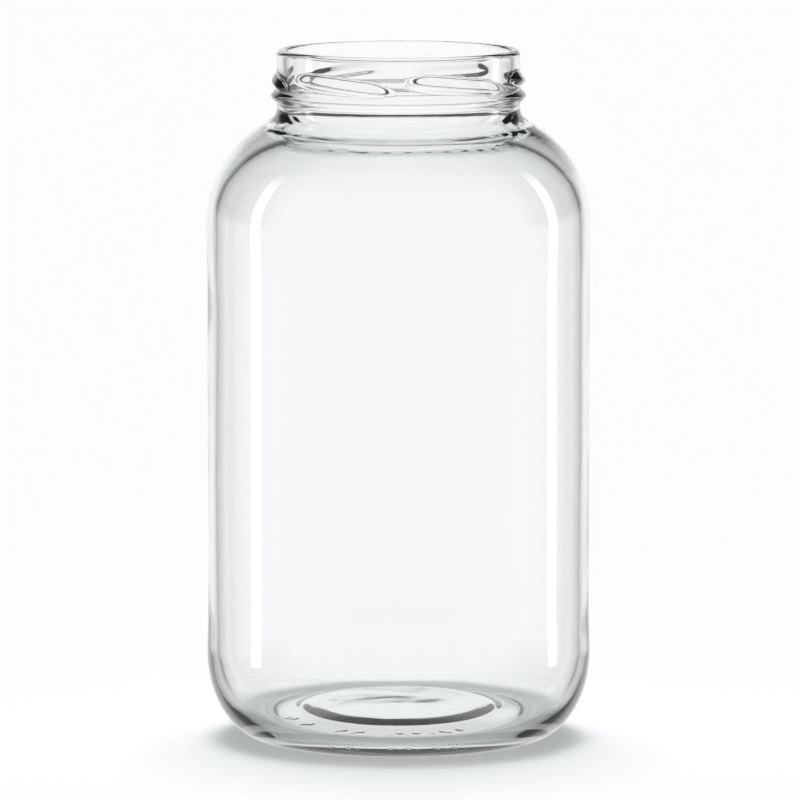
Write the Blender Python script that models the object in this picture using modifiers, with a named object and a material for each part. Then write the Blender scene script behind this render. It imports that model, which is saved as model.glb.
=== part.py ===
"""A clear glass preserving jar with a six-lug twist-off finish, empty and without its lid.

Metres, +Z up. The origin is the centre of the circle that the jar stands on.
The jar is one piece of glass: a turned shell with its mouth open, and six lugs fused to the neck.
"""

from math import acos, cos, pi, radians, sin, sqrt

import bmesh
import bpy

# Driving dimensions
HEIGHT = 0.188
BODY_R = 0.0520  # label panel
BAND_R = 0.0523  # the bumper bands above and below the panel
WALL = 0.0026
NECK_R = 0.0330
NECK_WALL = 0.0025
FLOOR_Z = 0.0070  # middle of the inner floor

# Lip, bead and neck, measured down from the rim
LIP_CREST_R = 0.0317
LIP_OUTER_DROP = 0.0014
LIP_INNER_DROP = 0.0007
BEAD_R = 0.0346
BEAD_DROP = 0.0127
BEAD_HALF = 0.0017
NECK_DROP = 0.0181
NECK_SOFTENING = 0.0022

# Shoulder, bands and heel
SHOULDER_R = 0.0319
SHOULDER_Z = 0.1405  # where the shoulder meets the upper band
SHOULDER_EXTRA = 0.0024  # the glass is this much thicker under the neck
NECK_FLARE = 0.0052  # reach of the inner rounding under the neck
BAND_WIDTH = 0.0040
BAND_FADE = 0.0100  # height over which the panel falls back from a band
HEEL_Z = 0.0232
HEEL_POWER = 1.93  # 2 is an ellipse, less is flatter

# Base
RING_OUTER_R = 0.0373
RING_INNER_R = 0.0355
PUSH_UP = 0.0030
PUSH_UP_EDGE = 0.0012
PUSH_UP_R = 0.0335
PUSH_UP_STEP = 0.0004  # the last rise, inside the mould ring
MOULD_RING_R = 0.0265
MOULD_RING_WIDTH = 0.0014
VALLEY_R = 0.0365
VALLEY_Z = 0.0048
VALLEY_RISE = 0.0007
FLOOR_FALL = 0.0001  # the inner floor falls this much to the fold, and then to the mould ring
FLOOR_FOLD = 0.0006
FLOOR_FOLD_WIDTH = 0.0030
INNER_HEEL_Z = 0.0255

# Lugs
LUG_COUNT = 6
LUG_CLIMB = 1  # 1 climbs clockwise seen from above, as pictured; -1 is the usual finish
LUG_START = radians(1)  # low end of the first lug, from +Y towards +X
LUG_LENGTH = radians(57)
LUG_LOW_DROP = 0.0100  # middle of the lug below the rim, at its low end
LUG_HIGH_DROP = 0.0070
LUG_PROUD = 0.0014
LUG_HALF = 0.00135
LUG_END_SCALE = 0.5
LUG_END_SINK = 0.0001
LUG_TAPER = 0.2  # share of the length over which each end fades
LUG_POINTS = 13

# Fineness: steps round the jar, and steps along each curve of the outline
TURN_STEPS = 64
HEEL_STEPS = 9
INNER_HEEL_STEPS = 7
SHOULDER_STEPS = 10
INNER_SHOULDER_STEPS = 7
FLARE_STEPS = 4
NECK_STEPS = 3
LIP_STEPS = 4
INNER_LIP_STEPS = 3
BEAD_STEPS = 8
WELD = 1e-6

GLASS_COLOUR = (0.86, 0.92, 0.89, 1.0)
GLASS_IOR = 1.52


def arc(centre, radii, start, end, steps, power=2.0):
    """Points on an elliptical arc in the (radius, height) plane, from angle start to end in radians."""
    points = []
    for i in range(steps + 1):
        angle = start + (end - start) * i / steps
        across = abs(cos(angle)) ** (2 / power) * (1 if cos(angle) >= 0 else -1)
        up = abs(sin(angle)) ** (2 / power) * (1 if sin(angle) >= 0 else -1)
        points.append((centre[0] + radii[0] * across, centre[1] + radii[1] * up))
    return points


def soft_corner(start, corner, end, steps):
    """A parabola from start to end, tangent to the two lines that meet at the corner."""
    points = []
    for i in range(steps + 1):
        t = i / steps
        a, b, c = (1 - t) ** 2, 2 * t * (1 - t), t * t
        points.append(tuple(a * p + b * q + c * r for p, q, r in zip(start, corner, end)))
    return points


def inner_outline():
    """From the middle of the floor up the inside to the crest of the lip."""
    inner_r = BODY_R - WALL
    neck_inner_r = NECK_R - NECK_WALL
    shoulder_r = SHOULDER_R - (BAND_R - inner_r)
    shoulder_up = shoulder_r - SHOULDER_EXTRA
    centre_r = inner_r - shoulder_r
    corner_z = SHOULDER_Z + shoulder_up * sqrt(1 - ((neck_inner_r - centre_r) / shoulder_r) ** 2)
    flare_angle = acos((neck_inner_r + NECK_FLARE - centre_r) / shoulder_r)
    flare_z = SHOULDER_Z + shoulder_up * sin(flare_angle)

    floor = [
        (0.0, FLOOR_Z),
        (MOULD_RING_R - FLOOR_FOLD_WIDTH, FLOOR_Z - FLOOR_FALL),
        (MOULD_RING_R, FLOOR_Z - FLOOR_FOLD),
        ((MOULD_RING_R + VALLEY_R) / 2, VALLEY_Z + VALLEY_RISE),
    ]
    heel_radii = (inner_r - VALLEY_R, INNER_HEEL_Z - VALLEY_Z)
    heel = arc((VALLEY_R, INNER_HEEL_Z), heel_radii, -pi / 2, 0, INNER_HEEL_STEPS)
    wall = [(inner_r, (INNER_HEEL_Z + SHOULDER_Z) / 2)]
    shoulder_radii = (shoulder_r, shoulder_up)
    shoulder = arc((centre_r, SHOULDER_Z), shoulder_radii, 0, flare_angle, INNER_SHOULDER_STEPS)
    neck = soft_corner(
        (neck_inner_r + NECK_FLARE, flare_z),
        (neck_inner_r, corner_z),
        (neck_inner_r, corner_z + NECK_FLARE),
        FLARE_STEPS,
    )
    lip_radii = (LIP_CREST_R - neck_inner_r, LIP_INNER_DROP)
    lip = arc((LIP_CREST_R, HEIGHT - LIP_INNER_DROP), lip_radii, pi, pi / 2, INNER_LIP_STEPS)
    return floor + heel + wall + shoulder + neck[1:] + lip


def outer_outline():
    """From the crest of the lip down the outside to the middle of the underside."""
    centre_r = BAND_R - SHOULDER_R
    neck_z = HEIGHT - NECK_DROP
    neck_angle = acos((NECK_R + NECK_SOFTENING - centre_r) / SHOULDER_R)
    soft_z = SHOULDER_Z + SHOULDER_R * sin(neck_angle)
    lower_band_z = HEEL_Z + BAND_WIDTH / 2

    lip_radii = (NECK_R - LIP_CREST_R, LIP_OUTER_DROP)
    lip = arc((LIP_CREST_R, HEIGHT - LIP_OUTER_DROP), lip_radii, pi / 2, 0, LIP_STEPS)
    bead_radii = (BEAD_R - NECK_R, BEAD_HALF)
    bead = arc((NECK_R, HEIGHT - BEAD_DROP), bead_radii, pi / 2, -pi / 2, BEAD_STEPS)
    neck = soft_corner(
        (NECK_R, neck_z + NECK_SOFTENING),
        (NECK_R, neck_z),
        (NECK_R + NECK_SOFTENING, soft_z),
        NECK_STEPS,
    )
    shoulder_radii = (SHOULDER_R, SHOULDER_R)
    shoulder = arc((centre_r, SHOULDER_Z), shoulder_radii, neck_angle, 0, SHOULDER_STEPS)
    panel = [
        (BAND_R, SHOULDER_Z - BAND_WIDTH),
        (BODY_R, SHOULDER_Z - BAND_WIDTH - BAND_FADE),
        (BODY_R, lower_band_z + BAND_FADE),
        (BAND_R, lower_band_z),
    ]
    heel_radii = (BAND_R - RING_OUTER_R, HEEL_Z)
    heel = arc((RING_OUTER_R, HEEL_Z), heel_radii, 0, -pi / 2, HEEL_STEPS, HEEL_POWER)
    base = [
        (RING_INNER_R, 0.0),
        (PUSH_UP_R, PUSH_UP_EDGE),
        (MOULD_RING_R + MOULD_RING_WIDTH, (PUSH_UP + PUSH_UP_EDGE) / 2),
        (MOULD_RING_R, PUSH_UP - PUSH_UP_STEP),
        (0.0, PUSH_UP),
    ]
    return lip[1:] + bead + neck + shoulder[1:] + panel + heel + base


def glass():
    material = bpy.data.materials.new("clear_glass")
    material.use_nodes = True
    shader = material.node_tree.nodes["Principled BSDF"]
    shader.inputs["Base Color"].default_value = GLASS_COLOUR
    shader.inputs["Roughness"].default_value = 0.0
    shader.inputs["Metallic"].default_value = 0.0
    shader.inputs["IOR"].default_value = GLASS_IOR
    shader.inputs["Transmission Weight"].default_value = 1.0
    return material


def evaluated_mesh(obj):
    graph = bpy.context.evaluated_depsgraph_get()
    return bpy.data.meshes.new_from_object(obj.evaluated_get(graph))


def turned_shell(collection):
    """The jar without its lugs: one outline turned once about +Z."""
    outline = inner_outline() + outer_outline()
    mesh = bpy.data.meshes.new("jar")
    edges = [(i, i + 1) for i in range(len(outline) - 1)]
    mesh.from_pydata([(r, 0.0, z) for r, z in outline], edges, [])
    jar = bpy.data.objects.new("jar", mesh)
    collection.objects.link(jar)
    screw = jar.modifiers.new("turn", "SCREW")
    screw.axis = "Z"
    screw.angle = 2 * pi
    screw.steps = TURN_STEPS
    screw.render_steps = TURN_STEPS
    screw.use_merge_vertices = True
    screw.merge_threshold = WELD
    return jar


def lug_shape(t):
    """Half thickness and path radius of a lug at share t of its length."""
    fade = min(1.0, min(t, 1 - t) / LUG_TAPER)
    fade = fade * fade * (3 - 2 * fade)
    half = LUG_HALF * (LUG_END_SCALE + (1 - LUG_END_SCALE) * fade)
    proud = -LUG_END_SINK + (LUG_PROUD + LUG_END_SINK) * fade
    return half, NECK_R + proud - half


def lug(index, collection):
    """One lug as a closed mesh: a tapered tube that climbs round the neck, half sunk in its wall."""
    curve = bpy.data.curves.new(f"lug_{index}", "CURVE")
    curve.dimensions = "3D"
    curve.bevel_depth = LUG_HALF
    curve.bevel_resolution = 2
    curve.use_fill_caps = True
    spline = curve.splines.new("POLY")
    spline.points.add(LUG_POINTS - 1)
    for i, point in enumerate(spline.points):
        t = i / (LUG_POINTS - 1)
        half, path_r = lug_shape(t)
        turn = LUG_CLIMB * (LUG_START + index * 2 * pi / LUG_COUNT + LUG_LENGTH * t)
        z = HEIGHT - LUG_LOW_DROP + (LUG_LOW_DROP - LUG_HIGH_DROP) * t
        point.co = (path_r * sin(turn), path_r * cos(turn), z, 1.0)
        point.radius = half / LUG_HALF
    tube = bpy.data.objects.new(f"lug_{index}", curve)
    collection.objects.link(tube)
    mesh = evaluated_mesh(tube)
    bpy.data.objects.remove(tube)
    work = bmesh.new()
    work.from_mesh(mesh)
    bmesh.ops.remove_doubles(work, verts=work.verts, dist=WELD)
    bmesh.ops.recalc_face_normals(work, faces=work.faces)
    work.to_mesh(mesh)
    work.free()
    solid = bpy.data.objects.new(f"lug_{index}", mesh)
    collection.objects.link(solid)


def fuse(jar, lugs):
    """Joins the lugs to the neck in one union, then removes them."""
    union = jar.modifiers.new("lugs", "BOOLEAN")
    union.operation = "UNION"
    union.operand_type = "COLLECTION"
    union.collection = lugs
    union.solver = "EXACT"
    fused = evaluated_mesh(jar)
    jar.modifiers.clear()
    jar.data = fused
    for obj in list(lugs.objects):
        bpy.data.objects.remove(obj)
    bpy.data.collections.remove(lugs)


def main():
    for obj in list(bpy.data.objects):
        bpy.data.objects.remove(obj)
    scene = bpy.context.scene
    parts = bpy.data.collections.new("preserving_jar")
    lugs = bpy.data.collections.new("lugs")
    scene.collection.children.link(parts)
    scene.collection.children.link(lugs)
    jar = turned_shell(parts)
    for index in range(LUG_COUNT):
        lug(index, lugs)
    fuse(jar, lugs)
    jar.data.name = "jar"
    jar.data.materials.clear()
    jar.data.materials.append(glass())
    jar.data.shade_smooth()
    jar.data.set_sharp_from_angle(angle=radians(35))


main()
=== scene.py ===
"""Looks of the clear glass preserving jar: a fine glass shell in place of the plain solid.

Metres, +Z up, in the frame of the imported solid. The camera looks along +Y and a little down.
"""

from math import acos, asin, cos, pi, radians, sin, sqrt

import bpy
import numpy as np
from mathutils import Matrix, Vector

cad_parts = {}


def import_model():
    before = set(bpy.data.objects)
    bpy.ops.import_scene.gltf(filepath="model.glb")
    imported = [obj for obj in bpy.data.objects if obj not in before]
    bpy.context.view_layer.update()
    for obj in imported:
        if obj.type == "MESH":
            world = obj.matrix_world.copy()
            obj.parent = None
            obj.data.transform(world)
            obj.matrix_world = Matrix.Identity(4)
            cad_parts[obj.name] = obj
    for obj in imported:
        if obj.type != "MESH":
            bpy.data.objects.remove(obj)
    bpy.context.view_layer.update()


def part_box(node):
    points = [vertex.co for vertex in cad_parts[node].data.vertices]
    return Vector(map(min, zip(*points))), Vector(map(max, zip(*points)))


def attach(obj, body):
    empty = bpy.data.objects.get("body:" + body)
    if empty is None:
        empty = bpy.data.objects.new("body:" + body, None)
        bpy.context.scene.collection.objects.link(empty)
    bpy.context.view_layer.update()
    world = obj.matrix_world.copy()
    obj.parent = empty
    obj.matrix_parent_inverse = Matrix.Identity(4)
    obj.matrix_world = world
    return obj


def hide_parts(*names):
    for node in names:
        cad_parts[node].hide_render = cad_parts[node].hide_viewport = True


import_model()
LOW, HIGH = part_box("jar")

# Sizes taken from the frame
HEIGHT = HIGH[2] - LOW[2]
BAND_R = (HIGH[0] - LOW[0]) / 2

# Driving dimensions: the solid's, with the bead, the lugs and the neck's inner flare moved a little
BODY_R = BAND_R - 0.0003  # the straight body lies a little inside the bands above and below it
WALL = 0.0026
NECK_R = 0.0330
NECK_WALL = 0.0025
FLOOR_Z = 0.0070

LIP_CREST_R = 0.0317
LIP_OUTER_DROP = 0.0014
LIP_INNER_DROP = 0.0007
BEAD_R = 0.0346
BEAD_DROP = 0.0125
BEAD_REACH = 0.0025
NECK_DROP = 0.0181
NECK_SOFTENING = 0.0022

SHOULDER_R = 0.0319
SHOULDER_Z = 0.1405
SHOULDER_EXTRA = 0.0024
NECK_FLARE = 0.0040
BAND_WIDTH = 0.0040
BAND_FADE = 0.0100
HEEL_Z = 0.0232
HEEL_POWER = 1.93

RING_OUTER_R = 0.0373
RING_INNER_R = 0.0355
PUSH_UP = 0.0030
PUSH_UP_EDGE = 0.0012
PUSH_UP_R = 0.0335
PUSH_UP_STEP = 0.0004
MOULD_RING_R = 0.0265
MOULD_RING_WIDTH = 0.0014
VALLEY_R = 0.0365
VALLEY_Z = 0.0048
VALLEY_RISE = 0.0007
FLOOR_FALL = 0.0001
FLOOR_FOLD = 0.0006
FLOOR_FOLD_WIDTH = 0.0030
INNER_HEEL_Z = 0.0255

LUG_COUNT = 6
LUG_CLIMB = 1  # 1 climbs clockwise seen from above, and -1 the other way
LUG_START = radians(1)
LUG_LENGTH = radians(57)
LUG_LOW_DROP = 0.0103
LUG_HIGH_DROP = 0.0070
LUG_PROUD = 0.0014
LUG_UNDER = 0.0019  # reach of a lug's flanks below and above its crest
LUG_OVER = 0.0031
LUG_SOFTENING = 0.25  # share of a flank that is rounded at its foot and at its top
LUG_TAPER = 0.25  # share of a lug's length over which each end runs out
LUG_END_REACH = 0.6  # share of the flanks' reach that is left at the ends

# Fineness of the glass mesh
TURN_STEPS = 800
BOX_MARGIN = 2e-6  # keeps the fine surface inside the solid's box
DENSE = 40  # points on each arc before it is resampled
CORNER_STEPS = 6  # points on a corner that is rounded off
CORNER_LIMIT = 2.2  # the rounding takes at most a side's length over this
OUTLINE_SAMPLES = 8000  # places along an outline at which the wanted spacing is read
COARSE = 0.0024  # spacing of the rings on the body
MIDDLING = 0.0008  # on the heel, and outside on the shoulder
MIDDLING_ABOVE_HEEL = (0.004, 0.006)  # how far it goes on above the heel, inside and outside
MIDDLING_BELOW_SHOULDER = 0.010
FINE_INSIDE = 0.0005  # inside the neck
FINE_INSIDE_DROP = 0.036
FINE_OUTSIDE = 0.00028  # on the lugs and the bead
FINE_OUTSIDE_MARGIN = 0.001
FINE_RING = 0.0003  # on the bearing ring, from this radius outward
FINE_RING_R = 0.025
FINE_RING_Z = 0.0035

# Unevenness of blown glass. Each field of waves has its size, its seed, the least and most whole
# turns round the jar, the least and greatest wave length, and the number of waves
INNER_SWELL = {"size": 0.00004, "seed": 11, "turns": (1, 3), "lengths": (0.07, 0.18), "count": 7}
INNER_WAVES = {"size": 0.000008, "seed": 12, "turns": (3, 9), "lengths": (0.014, 0.05), "count": 8}
NECK_RIPPLES = {"size": 0.00005, "seed": 13, "turns": (3, 34), "lengths": (0.003, 0.008), "count": 18}
FLOOR_SWELL = {"size": 0.00004, "seed": 14, "turns": (1, 4), "lengths": (0.014, 0.03), "count": 6}
OUTER_SWELL = {"size": 0.000008, "seed": 21, "turns": (2, 6), "lengths": (0.04, 0.1), "count": 7}
OUTER_INSET = 0.000012  # keeps the swelling body inside the solid's box
BODY_WAVES_LOW = 0.02
BODY_WAVES_DROP = 0.03
INNER_WAVES_FADE = 0.012
OUTER_WAVES_FADE = 0.010
RIPPLES_LOW_DROP = 0.0225
RIPPLES_HIGH_DROP = 0.0180
RIPPLES_FADE = 0.0015
FLOOR_WAVES_R = (0.008, 0.040, 0.006)  # from, to and fade
FLOOR_WAVES_Z = (0.0, 0.009, 0.004)

# The bearing ring is knurled, and small round bumps stand on the underside in four groups
UNDERSIDE_Z = 0.004  # what lies lower belongs to the underside
KNURL_DEPTH = 0.00012  # half of a groove's depth
KNURL_STEPS = 4  # steps of the mesh to a groove
KNURL_R = (0.0352, 0.0378, 0.0006)  # from, to and fade
BUMP_GROUPS = (-0.0270, -0.0135, 0.0014, 0.0130)  # across the jar, from its middle
BUMP_SPREAD = (-0.0033, -0.0011, 0.0011, 0.0033)
BUMP_R = 0.0328
BUMP_SIZE = 0.0014
BUMP_RISE = 0.00045

# Camera
CAMERA_BACK = 2.1
CAMERA_HEIGHT = 0.345
AIM_BELOW_MIDDLE = 0.0018
AIM_RIGHT = 0.0004
FRAME_WIDTH = 0.218  # what the picture spans at the aim point
SENSOR = 36.0
CLIP_NEAR = 0.05
CLIP_FAR = 50


def arc(centre, radii, start, end, power=2.0, steps=DENSE):
    """Points on an elliptical arc in the (radius, height) plane, from angle start to end in radians."""
    angles = np.linspace(start, end, steps + 1)
    across = np.sign(np.cos(angles)) * np.abs(np.cos(angles)) ** (2 / power)
    up = np.sign(np.sin(angles)) * np.abs(np.sin(angles)) ** (2 / power)
    return list(zip(centre[0] + radii[0] * across, centre[1] + radii[1] * up))


def soft_corner(start, corner, end, steps=DENSE // 2):
    """A parabola from start to end, tangent to the two lines that meet at the corner."""
    points = []
    for t in np.linspace(0, 1, steps + 1):
        weights = ((1 - t) ** 2, 2 * t * (1 - t), t * t)
        points.append(tuple(np.dot(weights, axis) for axis in zip(start, corner, end)))
    return points


def rounded(points, reach):
    """The same open outline with each inner corner turned into a short parabola."""
    result = [points[0]]
    for before, corner, after in zip(points, points[1:], points[2:]):
        before, corner, after = map(np.array, (before, corner, after))
        back, on = before - corner, after - corner
        step_back = min(reach, np.linalg.norm(back) / CORNER_LIMIT)
        step_on = min(reach, np.linalg.norm(on) / CORNER_LIMIT)
        start = corner + back / np.linalg.norm(back) * step_back
        end = corner + on / np.linalg.norm(on) * step_on
        result += soft_corner(start, corner, end, CORNER_STEPS)
    return result + [points[-1]]


def inner_outline():
    """From the middle of the floor up the inside to the crest of the lip."""
    inner_r = BODY_R - WALL
    neck_inner_r = NECK_R - NECK_WALL
    shoulder_r = SHOULDER_R - (BAND_R - inner_r)
    shoulder_up = shoulder_r - SHOULDER_EXTRA
    centre_r = inner_r - shoulder_r
    corner_z = SHOULDER_Z + shoulder_up * sqrt(1 - ((neck_inner_r - centre_r) / shoulder_r) ** 2)
    flare_angle = acos((neck_inner_r + NECK_FLARE - centre_r) / shoulder_r)
    flare_z = SHOULDER_Z + shoulder_up * sin(flare_angle)

    floor = [
        (0.0, FLOOR_Z),
        (MOULD_RING_R - FLOOR_FOLD_WIDTH, FLOOR_Z - FLOOR_FALL),
        (MOULD_RING_R, FLOOR_Z - FLOOR_FOLD),
        ((MOULD_RING_R + VALLEY_R) / 2, VALLEY_Z + VALLEY_RISE),
        (VALLEY_R, VALLEY_Z),
    ]
    heel = arc((VALLEY_R, INNER_HEEL_Z), (inner_r - VALLEY_R, INNER_HEEL_Z - VALLEY_Z), -pi / 2, 0)
    shoulder = arc((centre_r, SHOULDER_Z), (shoulder_r, shoulder_up), 0, flare_angle)
    neck = soft_corner(
        (neck_inner_r + NECK_FLARE, flare_z),
        (neck_inner_r, corner_z),
        (neck_inner_r, corner_z + NECK_FLARE),
    )
    lip = arc(
        (LIP_CREST_R, HEIGHT - LIP_INNER_DROP), (LIP_CREST_R - neck_inner_r, LIP_INNER_DROP), pi, pi / 2
    )
    return rounded(floor, 0.002)[:-1] + heel + shoulder + neck[1:] + lip


def outer_outline():
    """From the crest of the lip down the outside to the middle of the underside."""
    centre_r = BAND_R - SHOULDER_R
    neck_z = HEIGHT - NECK_DROP
    neck_angle = acos((NECK_R + NECK_SOFTENING - centre_r) / SHOULDER_R)
    soft_z = SHOULDER_Z + SHOULDER_R * sin(neck_angle)
    lower_band_z = HEEL_Z + BAND_WIDTH / 2

    lip = arc((LIP_CREST_R, HEIGHT - LIP_OUTER_DROP), (NECK_R - LIP_CREST_R, LIP_OUTER_DROP), pi / 2, 0)
    neck = soft_corner(
        (NECK_R, neck_z + NECK_SOFTENING), (NECK_R, neck_z), (NECK_R + NECK_SOFTENING, soft_z)
    )
    shoulder = arc((centre_r, SHOULDER_Z), (SHOULDER_R, SHOULDER_R), neck_angle, 0)
    panel = rounded(
        [
            (BAND_R, SHOULDER_Z),
            (BAND_R, SHOULDER_Z - BAND_WIDTH),
            (BODY_R, SHOULDER_Z - BAND_WIDTH - BAND_FADE),
            (BODY_R, lower_band_z + BAND_FADE),
            (BAND_R, lower_band_z),
            (BAND_R, HEEL_Z),
        ],
        0.0015,
    )
    heel = arc((RING_OUTER_R, HEEL_Z), (BAND_R - RING_OUTER_R, HEEL_Z), 0, -pi / 2, HEEL_POWER)
    base = rounded(
        [
            (RING_OUTER_R, 0.0),
            (RING_INNER_R, 0.0),
            (PUSH_UP_R, PUSH_UP_EDGE),
            (MOULD_RING_R + MOULD_RING_WIDTH, (PUSH_UP + PUSH_UP_EDGE) / 2),
            (MOULD_RING_R, PUSH_UP - PUSH_UP_STEP),
            (0.0, PUSH_UP),
        ],
        0.0008,
    )
    return lip[1:] + neck + shoulder[1:] + panel[1:] + heel[1:] + base[1:]


def resampled(points, spacing):
    """Points along the outline at the spacing that a function of (radius, height) asks for."""
    points = np.array(points)
    steps = np.hypot(*np.diff(points, axis=0).T)
    points = points[np.concatenate([[True], steps > 1e-9])]
    along = np.concatenate([[0], np.cumsum(np.hypot(*np.diff(points, axis=0).T))])
    fine = np.linspace(0, along[-1], OUTLINE_SAMPLES)
    r = np.interp(fine, along, points[:, 0])
    z = np.interp(fine, along, points[:, 1])
    rate = 1 / spacing(r, z)
    count = np.concatenate([[0], np.cumsum((rate[1:] + rate[:-1]) / 2 * np.diff(fine))])
    wanted = np.linspace(0, count[-1], int(round(count[-1])) + 1)
    return np.interp(wanted, count, r), np.interp(wanted, count, z)


def smooth_step(x):
    """0 up to 0, 1 from 1 on, and smooth between."""
    x = np.clip(x, 0, 1)
    return x * x * (3 - 2 * x)


def window(value, low, high, fade):
    """1 between low and high, fading to 0 over the given distance outside them."""
    return smooth_step((value - low) / fade + 1) * smooth_step((high - value) / fade + 1)


def waves(turn, z, size, seed, turns, lengths, count):
    """A smooth uneven field of about the given size: cosines with whole turns round the jar."""
    draw = np.random.default_rng(seed)
    field = np.zeros(np.broadcast(turn, z).shape)
    for _ in range(count):
        m = draw.integers(turns[0], turns[1] + 1)
        k = 2 * pi / draw.uniform(*lengths) * draw.choice([-1, 1])
        field += np.cos(m * turn + k * z + draw.uniform(0, 2 * pi))
    return size * (field / sqrt(count / 2))


def mound(x):
    """A smooth hump of height 1 that ends at -1 and 1."""
    return 0.5 + 0.5 * np.cos(pi * np.clip(x, -1, 1))


def bead_relief(z):
    """How far the bead stands proud of the neck."""
    return (BEAD_R - NECK_R) * mound((z - HEIGHT + BEAD_DROP) / BEAD_REACH)


def flank(x):
    """A straight slope from 0 to 1 with a rounded foot and top."""
    x = np.clip(x, 0, 1)
    foot = np.minimum(x, LUG_SOFTENING) ** 2 / (2 * LUG_SOFTENING)
    top = np.maximum(x - 1 + LUG_SOFTENING, 0) ** 2 / (2 * LUG_SOFTENING)
    return (foot + np.maximum(x - LUG_SOFTENING, 0) - top) / (1 - LUG_SOFTENING)


def lug_relief(turn, z):
    """How far the six lugs stand proud of the neck."""
    relief = np.zeros(np.broadcast(turn, z).shape)
    for index in range(LUG_COUNT):
        start = LUG_START + index * 2 * pi / LUG_COUNT
        t = ((LUG_CLIMB * turn - start) % (2 * pi)) / LUG_LENGTH
        fade = smooth_step(np.minimum(t, 1 - t) / LUG_TAPER)
        middle = HEIGHT - LUG_LOW_DROP + (LUG_LOW_DROP - LUG_HIGH_DROP) * np.clip(t, 0, 1)
        reach = LUG_END_REACH + (1 - LUG_END_REACH) * fade
        across = (z - middle) / np.where(z < middle, LUG_UNDER, LUG_OVER) / reach
        relief += np.where(t <= 1, LUG_PROUD * fade * flank(1 - np.abs(across)), 0)
    return relief


def glass_mesh():
    """The whole surface of the jar as one closed mesh, with the unevenness of blown glass."""

    def inner_spacing(r, z):
        fine = np.where(z > HEIGHT - FINE_INSIDE_DROP, FINE_INSIDE, COARSE)
        return np.where(z < INNER_HEEL_Z + MIDDLING_ABOVE_HEEL[0], MIDDLING, fine)

    def outer_spacing(r, z):
        neck_foot = HEIGHT - NECK_DROP - FINE_OUTSIDE_MARGIN
        shoulder_foot = SHOULDER_Z - MIDDLING_BELOW_SHOULDER
        fine = np.where(z > neck_foot, FINE_OUTSIDE, COARSE)
        fine = np.where((z > shoulder_foot) & (z <= neck_foot), MIDDLING, fine)
        fine = np.where(z < HEEL_Z + MIDDLING_ABOVE_HEEL[1], MIDDLING, fine)
        return np.where((z < FINE_RING_Z) & (r > FINE_RING_R), FINE_RING, fine)

    in_r, in_z = resampled(inner_outline(), inner_spacing)
    out_r, out_z = resampled(outer_outline(), outer_spacing)
    r = np.concatenate([in_r, out_r[1:]])
    z = np.concatenate([in_z, out_z[1:]])
    inside = np.concatenate([np.ones(len(in_r)), np.zeros(len(out_r) - 1)])

    slope_r = np.gradient(r)
    slope_z = np.gradient(z)
    length = np.hypot(slope_r, slope_z)
    # away from the glass: up from the inside of the floor, and outward from the outside
    normal_r, normal_z = -slope_z / length, slope_r / length

    turn = np.arange(TURN_STEPS) / TURN_STEPS * 2 * pi
    r, z, inside, normal_r, normal_z = (v[:, None] for v in (r, z, inside, normal_r, normal_z))
    turn = turn[None, :]

    shift = inside * inner_unevenness(turn, r, z)
    shift = shift + (1 - inside) * outer_unevenness(turn, r, z)
    flat_r = r + normal_r * shift
    flat_z = z + normal_z * shift
    on_neck = (1 - inside) * (z > HEIGHT - NECK_DROP)
    flat_r = flat_r + on_neck * np.maximum(lug_relief(turn, z), bead_relief(z))
    flat_r = np.clip(flat_r, 0, BAND_R - BOX_MARGIN)
    flat_z = np.clip(flat_z, 0, HEIGHT)

    rows = r.shape[0]
    ring = np.stack([flat_r * np.sin(turn), flat_r * np.cos(turn), flat_z + 0 * turn], axis=-1)
    ring = ring[1:-1].reshape(-1, 3)
    first = (0.0, 0.0, float(flat_z[0].mean()))
    last = (0.0, 0.0, float(flat_z[-1].mean()))
    points = np.concatenate([ring, [first, last]])
    return mesh_from_rings("glass_jar", points, rows - 2, TURN_STEPS)


def mesh_from_rings(name, points, rows, around):
    """Quads between neighbouring rings, and a fan at each pole, which are the last two points."""
    index = np.arange(rows * around).reshape(rows, around)
    after = np.roll(index, -1, axis=1)
    quads = np.stack([index[:-1], after[:-1], after[1:], index[1:]], axis=-1).reshape(-1, 4)
    bottom, top = rows * around, rows * around + 1
    start_fan = np.stack([np.full(around, bottom), after[0], index[0]], axis=-1)
    end_fan = np.stack([index[-1], after[-1], np.full(around, top)], axis=-1)
    mesh = bpy.data.meshes.new(name)
    corners = np.concatenate([quads.ravel(), start_fan.ravel(), end_fan.ravel()])
    sizes = np.concatenate([np.full(len(quads), 4), np.full(2 * around, 3)])
    starts = np.concatenate([[0], np.cumsum(sizes)[:-1]])
    mesh.vertices.add(len(points))
    mesh.vertices.foreach_set("co", points.astype(np.float32).ravel())
    mesh.loops.add(len(corners))
    mesh.loops.foreach_set("vertex_index", corners.astype(np.int32))
    mesh.polygons.add(len(sizes))
    mesh.polygons.foreach_set("loop_start", starts.astype(np.int32))
    mesh.update(calc_edges=True)
    mesh.validate()
    mesh.shade_smooth()
    return mesh


def inner_unevenness(turn, r, z):
    """Offset of the inner surface along its normal, into the hollow."""
    body = waves(turn, z, **INNER_SWELL)
    body = body + waves(turn, z, **INNER_WAVES)
    body = body * window(z, BODY_WAVES_LOW, HEIGHT - BODY_WAVES_DROP, INNER_WAVES_FADE)
    ripple = waves(turn, z, **NECK_RIPPLES)
    ripple = ripple * window(z, HEIGHT - RIPPLES_LOW_DROP, HEIGHT - RIPPLES_HIGH_DROP, RIPPLES_FADE)
    floor = waves(turn, r, **FLOOR_SWELL) * window(r, *FLOOR_WAVES_R)
    floor = floor * window(z, *FLOOR_WAVES_Z)
    return body + ripple + floor


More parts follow.
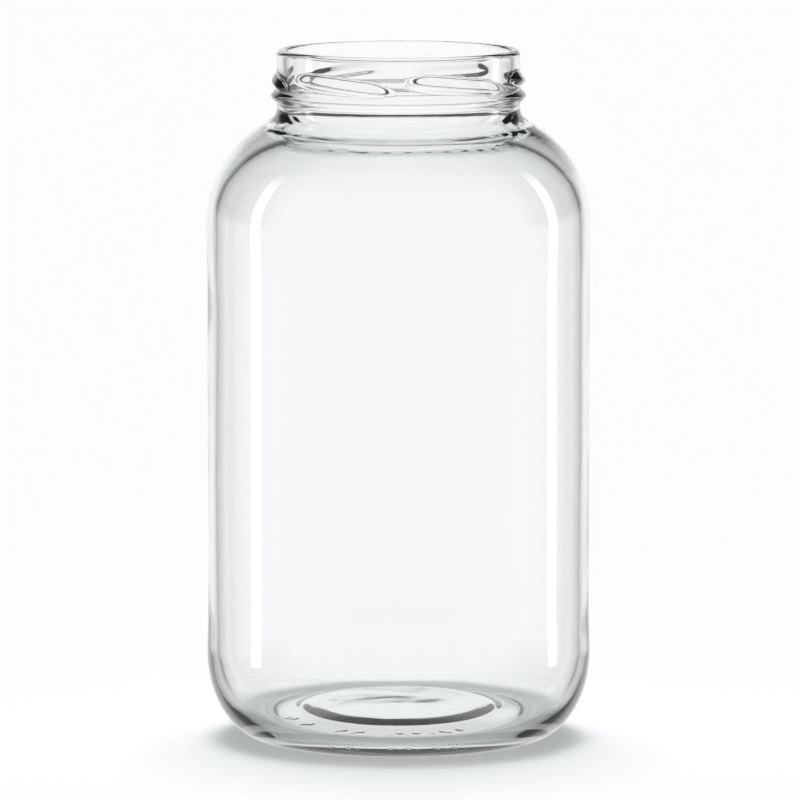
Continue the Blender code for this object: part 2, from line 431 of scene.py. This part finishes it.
def bumps(turn, r):
    """Small round bumps along the front edge of the underside."""
    field = np.zeros(np.broadcast(turn, r).shape)
    for group in BUMP_GROUPS:
        for number, offset in enumerate(BUMP_SPREAD):
            at = BUMP_R - BUMP_SIZE * (number % 2)
            middle = pi - asin((group + offset) / at)
            apart = np.hypot(r * np.cos(turn - middle) - at, r * np.sin(turn - middle))
            field += mound(apart / BUMP_SIZE)
    return BUMP_RISE * field


def outer_unevenness(turn, r, z):
    """Offset of the outer surface along its normal, away from the glass."""
    on_body = window(z, BODY_WAVES_LOW, HEIGHT - BODY_WAVES_DROP, OUTER_WAVES_FADE)
    body = waves(turn, z, **OUTER_SWELL) * on_body
    knurl = KNURL_DEPTH * (np.cos(TURN_STEPS / KNURL_STEPS * turn) - 1) * window(r, *KNURL_R)
    knurl = knurl * (z < UNDERSIDE_Z)
    return body - OUTER_INSET * on_body + knurl + bumps(turn, r) * (z < UNDERSIDE_Z)


# Glass. Lamps shine through it as through a film, and the thick glass low down lets less through
GLASS_IOR = 1.52
GLASS_TINT = (0.62, 0.70, 0.675, 1)
GLASS_DENSITY = 28.0
SHADE_TOP = 0.030
SHADE_AT_BASE = 0.58
SHADE_ABOVE = 0.965


def glass_material():
    """Clear glass with a faint green from its thickness."""
    material = bpy.data.materials.new("clear_glass")
    material.use_nodes = True
    nodes, links = material.node_tree.nodes, material.node_tree.links
    nodes.clear()
    output = nodes.new("ShaderNodeOutputMaterial")
    shader = nodes.new("ShaderNodeBsdfPrincipled")
    shader.inputs["Base Color"].default_value = (1, 1, 1, 1)
    shader.inputs["Roughness"].default_value = 0.0
    shader.inputs["IOR"].default_value = GLASS_IOR
    shader.inputs["Transmission Weight"].default_value = 1.0
    through = nodes.new("ShaderNodeBsdfTransparent")
    place = nodes.new("ShaderNodeTexCoord")
    split = nodes.new("ShaderNodeSeparateXYZ")
    links.new(place.outputs["Object"], split.inputs["Vector"])
    clear = step_between(nodes, links, split.outputs["Z"], 0.0, SHADE_TOP)
    shade = nodes.new("ShaderNodeMapRange")
    shade.inputs["To Min"].default_value = SHADE_AT_BASE
    shade.inputs["To Max"].default_value = SHADE_ABOVE
    links.new(clear, shade.inputs["Value"])
    links.new(shade.outputs["Result"], through.inputs["Color"])
    path = nodes.new("ShaderNodeLightPath")
    mix = nodes.new("ShaderNodeMixShader")
    links.new(path.outputs["Is Shadow Ray"], mix.inputs["Fac"])
    links.new(shader.outputs["BSDF"], mix.inputs[1])
    links.new(through.outputs["BSDF"], mix.inputs[2])
    links.new(mix.outputs["Shader"], output.inputs["Surface"])
    tint = nodes.new("ShaderNodeVolumeAbsorption")
    tint.inputs["Color"].default_value = GLASS_TINT
    tint.inputs["Density"].default_value = GLASS_DENSITY
    links.new(tint.outputs["Volume"], output.inputs["Volume"])
    return material


FLOOR_R = 12.0
FLOOR_DROP = 0.0002
FLOOR_SIDES = 96
FLOOR_WHITE = 0.78
PATCH_FADE = 0.052  # the part of the floor that is seen in the glass fades out from here to PATCH_R
PATCH_R = 0.078
PAINTED_LIGHT_NEAR = 0.030  # under the base, the floor seen in the glass carries a painted pool of light, a glow at full strength up to this radius
PAINTED_LIGHT_FAR = 0.042
PAINTED_LIGHT_STRENGTH = 0.93


def floor_material():
    """White, with a painted pool of light under the base: a glow seen only through the glass, standing in
    for the light the jar gathers there.
    """
    material = bpy.data.materials.new("pale_floor")
    material.use_nodes = True
    nodes, links = material.node_tree.nodes, material.node_tree.links
    nodes.clear()
    output = nodes.new("ShaderNodeOutputMaterial")
    diffuse = nodes.new("ShaderNodeBsdfDiffuse")
    diffuse.inputs["Color"].default_value = (FLOOR_WHITE, FLOOR_WHITE, FLOOR_WHITE * BLUE, 1)
    place = nodes.new("ShaderNodeTexCoord")
    reach = nodes.new("ShaderNodeVectorMath")
    reach.operation = "LENGTH"
    links.new(place.outputs["Object"], reach.inputs[0])
    # painted pool of light on the floor under the base: full up to the near radius, gone at the far one,
    # and seen only by rays through the glass
    painted_light_mask = step_between(nodes, links, reach.outputs["Value"], PAINTED_LIGHT_FAR, PAINTED_LIGHT_NEAR)
    path = nodes.new("ShaderNodeLightPath")
    share = nodes.new("ShaderNodeMath")
    share.operation = "MULTIPLY"
    links.new(painted_light_mask, share.inputs[0])
    links.new(path.outputs["Is Transmission Ray"], share.inputs[1])
    # the painted light itself: a glow on the floor, not a lamp
    painted_glow = nodes.new("ShaderNodeEmission")
    painted_glow.inputs["Color"].default_value = (1 / BLUE, 1 / BLUE, 1, 1)
    painted_glow.inputs["Strength"].default_value = PAINTED_LIGHT_STRENGTH
    under = nodes.new("ShaderNodeMixShader")
    links.new(share.outputs["Value"], under.inputs["Fac"])
    links.new(diffuse.outputs["BSDF"], under.inputs[1])
    links.new(painted_glow.outputs["Emission"], under.inputs[2])

    gone = nodes.new("ShaderNodeMath")
    gone.operation = "MULTIPLY"
    links.new(step_between(nodes, links, reach.outputs["Value"], PATCH_FADE, PATCH_R), gone.inputs[0])
    links.new(path.outputs["Is Transmission Ray"], gone.inputs[1])
    clear = nodes.new("ShaderNodeBsdfTransparent")
    edge = nodes.new("ShaderNodeMixShader")
    links.new(gone.outputs["Value"], edge.inputs["Fac"])
    links.new(under.outputs["Shader"], edge.inputs[1])
    links.new(clear.outputs["BSDF"], edge.inputs[2])
    links.new(edge.outputs["Shader"], output.inputs["Surface"])
    return material


def step_between(nodes, links, value, start, end):
    """A smooth step from 0 at start to 1 at end."""
    step = nodes.new("ShaderNodeMapRange")
    step.interpolation_type = "SMOOTHSTEP"
    step.inputs["From Min"].default_value = start
    step.inputs["From Max"].default_value = end
    links.new(value, step.inputs["Value"])
    return step.outputs["Result"]


def floor():
    """A wide round floor. In the glass only the part round the jar is seen, and no reflection shows it."""
    turn = np.arange(FLOOR_SIDES) / FLOOR_SIDES * 2 * pi
    rim = np.stack([np.sin(turn) * FLOOR_R, np.cos(turn) * FLOOR_R, 0 * turn - FLOOR_DROP], axis=-1)
    mesh = bpy.data.meshes.new("floor")
    mesh.from_pydata(rim.tolist(), [], [tuple(range(FLOOR_SIDES))[::-1]])
    mesh.materials.append(floor_material())
    obj = bpy.data.objects.new("floor", mesh)
    bpy.context.scene.collection.objects.link(obj)
    obj.visible_glossy = False
    return obj


# Brightness of the studio that the glass sees. Below the horizon it is a table, by the angle in
# degrees round from straight behind the jar. Above it is a lit backdrop in a dark surround, with
# soft light from the sides and overhead, by the angle off the line of sight.
TABLE = [
    (0, 1.0), (22, 1.0), (28, 0.94), (33, 0.46), (42, 0.40), (52, 0.62), (70, 0.82), (95, 0.86), (125, 0.74)
]
BACKDROP = [
    (0, 1.0), (20, 1.0), (26, 0.88), (31, 0.25), (36, 0.10), (88, 0.10), (98, 0.8), (180, 0.80)
]
DIM_FOR_FLOOR = 0.15  # the floor is lit by the lamp, and hardly by the studio
HORIZON_LOW = -0.02
HORIZON_HIGH = 0.10
STUDIO_STRENGTH = 1.01
BLUE = 1.015  # the studio and the floor are a little cool


def world():
    """White to the camera. To the glass, a studio with a bright back in a dark surround, over a table."""
    studio = bpy.data.worlds.new("studio")
    bpy.context.scene.world = studio
    studio.use_nodes = True
    nodes, links = studio.node_tree.nodes, studio.node_tree.links
    nodes.clear()
    output = nodes.new("ShaderNodeOutputWorld")
    background = nodes.new("ShaderNodeBackground")
    path = nodes.new("ShaderNodeLightPath")
    shader = background.outputs["Background"]
    for kind, level in (("Is Diffuse Ray", DIM_FOR_FLOOR), ("Is Camera Ray", 1.0)):
        plain = nodes.new("ShaderNodeBackground")
        plain.inputs["Color"].default_value = (level, level, level, 1)
        mix = nodes.new("ShaderNodeMixShader")
        links.new(path.outputs[kind], mix.inputs["Fac"])
        links.new(shader, mix.inputs[1])
        links.new(plain.outputs["Background"], mix.inputs[2])
        shader = mix.outputs["Shader"]
    links.new(shader, output.inputs["Surface"])

    where = nodes.new("ShaderNodeTexCoord")
    split = nodes.new("ShaderNodeSeparateXYZ")
    links.new(where.outputs["Generated"], split.inputs["Vector"])
    side = nodes.new("ShaderNodeMath")
    side.operation = "ARCTAN2"
    links.new(split.outputs["X"], side.inputs[0])
    links.new(split.outputs["Y"], side.inputs[1])
    around = nodes.new("ShaderNodeMath")
    around.operation = "ABSOLUTE"
    links.new(side.outputs["Value"], around.inputs[0])
    low = ramp_of_angle(nodes, links, around.outputs["Value"], TABLE)
    ahead = nodes.new("ShaderNodeVectorMath")
    ahead.operation = "DOT_PRODUCT"
    links.new(where.outputs["Generated"], ahead.inputs[0])
    ahead.inputs[1].default_value = (0, 1, 0)
    off_axis = nodes.new("ShaderNodeMath")
    off_axis.operation = "ARCCOSINE"
    links.new(ahead.outputs["Value"], off_axis.inputs[0])
    high = ramp_of_angle(nodes, links, off_axis.outputs["Value"], BACKDROP)
    rise = nodes.new("ShaderNodeMapRange")
    rise.interpolation_type = "SMOOTHSTEP"
    rise.inputs["From Min"].default_value = HORIZON_LOW
    rise.inputs["From Max"].default_value = HORIZON_HIGH
    links.new(split.outputs["Z"], rise.inputs["Value"])

    join = nodes.new("ShaderNodeMix")
    join.data_type = "RGBA"
    links.new(rise.outputs["Result"], join.inputs["Factor"])
    links.new(low, join.inputs["A"])
    links.new(high, join.inputs["B"])
    links.new(join.outputs["Result"], background.inputs["Color"])
    background.inputs["Strength"].default_value = STUDIO_STRENGTH


def ramp_of_angle(nodes, links, angle, stops):
    """The colour socket of a ramp that an angle of 0 to pi runs through; the stops are in degrees."""
    share = nodes.new("ShaderNodeMapRange")
    share.inputs["From Min"].default_value = 0
    share.inputs["From Max"].default_value = pi
    links.new(angle, share.inputs["Value"])
    ramp = nodes.new("ShaderNodeValToRGB")
    set_ramp(ramp, [(at / 180, value) for at, value in stops])
    links.new(share.outputs["Result"], ramp.inputs["Fac"])
    return ramp.outputs["Color"]


def set_ramp(node, stops):
    """Stops of (position, brightness), in a slightly cool grey."""
    elements = node.color_ramp.elements
    while len(elements) < len(stops):
        elements.new(0.5)
    for element, (position, value) in zip(elements, stops):
        element.position = position
        element.color = (value, value, value * BLUE, 1)


SUN_STRENGTH = 3.55
SUN_WIDTH = radians(23)
SUN_TILT = radians(13)  # from overhead, coming from behind the jar
LEFT_STRIP_ANGLE = radians(-92.8)
RIGHT_STRIP_ANGLE = radians(103.4)
STRIP_DISTANCE = 0.9
STRIP_WIDTH = 0.14
STRIP_LOW = -0.112
STRIP_HIGH = 0.95
STRIP_FADE = 0.45
STRIP_STRENGTH = 4.0


def lights():
    """A wide lamp overhead, and the two strips that the body reflects."""
    sun = bpy.data.lights.new("top", "SUN")
    sun.energy = SUN_STRENGTH
    sun.angle = SUN_WIDTH
    top = bpy.data.objects.new("top", sun)
    bpy.context.scene.collection.objects.link(top)
    top.rotation_euler = (-SUN_TILT, 0, 0)
    top.visible_glossy = False
    top.visible_transmission = False
    return [strip("strip_left", LEFT_STRIP_ANGLE), strip("strip_right", RIGHT_STRIP_ANGLE)]


def strip(name, angle):
    """A tall narrow light at the given angle from the camera's side, seen only as a reflection."""
    mesh = bpy.data.meshes.new(name)
    half = STRIP_WIDTH / 2
    corners = [(-half, 0, STRIP_LOW), (half, 0, STRIP_LOW), (half, 0, STRIP_HIGH), (-half, 0, STRIP_HIGH)]
    mesh.from_pydata(corners, [], [(0, 1, 2, 3)])
    obj = bpy.data.objects.new(name, mesh)
    bpy.context.scene.collection.objects.link(obj)
    obj.location = (sin(angle) * STRIP_DISTANCE, -cos(angle) * STRIP_DISTANCE, 0)
    obj.rotation_euler = (0, 0, angle)
    mesh.materials.append(strip_material())
    obj.visible_camera = False
    obj.visible_diffuse = False
    obj.visible_transmission = False
    obj.visible_shadow = False
    return obj


def strip_material():
    """A glow that fades out at both ends of the strip."""
    material = bpy.data.materials.get("strip_glow")
    if material:
        return material
    material = bpy.data.materials.new("strip_glow")
    material.use_nodes = True
    nodes, links = material.node_tree.nodes, material.node_tree.links
    nodes.clear()
    output = nodes.new("ShaderNodeOutputMaterial")
    glow = nodes.new("ShaderNodeEmission")
    place = nodes.new("ShaderNodeTexCoord")
    split = nodes.new("ShaderNodeSeparateXYZ")
    links.new(place.outputs["Object"], split.inputs["Vector"])
    strength = nodes.new("ShaderNodeMapRange")
    strength.interpolation_type = "SMOOTHSTEP"
    strength.inputs["From Min"].default_value = STRIP_HIGH
    strength.inputs["From Max"].default_value = STRIP_HIGH - STRIP_FADE
    strength.inputs["To Max"].default_value = STRIP_STRENGTH
    links.new(split.outputs["Z"], strength.inputs["Value"])
    links.new(strength.outputs["Result"], glow.inputs["Strength"])
    links.new(glow.outputs["Emission"], output.inputs["Surface"])
    return material


def camera():
    """A long lens at the photo's viewing angle, framed so that the jar fills the same part."""
    data = bpy.data.cameras.new("camera")
    data.sensor_width = SENSOR
    obj = bpy.data.objects.new("camera", data)
    bpy.context.scene.collection.objects.link(obj)
    aim = Vector((AIM_RIGHT, 0, HEIGHT / 2 - AIM_BELOW_MIDDLE))
    obj.location = (AIM_RIGHT, -CAMERA_BACK, CAMERA_HEIGHT)
    away = aim - obj.location
    obj.rotation_euler = away.to_track_quat("-Z", "Y").to_euler()
    data.lens = SENSOR * away.length / FRAME_WIDTH
    data.clip_start, data.clip_end = CLIP_NEAR, CLIP_FAR
    bpy.context.scene.camera = obj


camera()
world()
strips = lights()
bpy.context.scene.view_settings.view_transform = "Standard"

jar = bpy.data.objects.new("glass_jar", glass_mesh())
bpy.context.scene.collection.objects.link(jar)
jar.data.materials.append(glass_material())
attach(jar, "root")
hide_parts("jar")
floor()
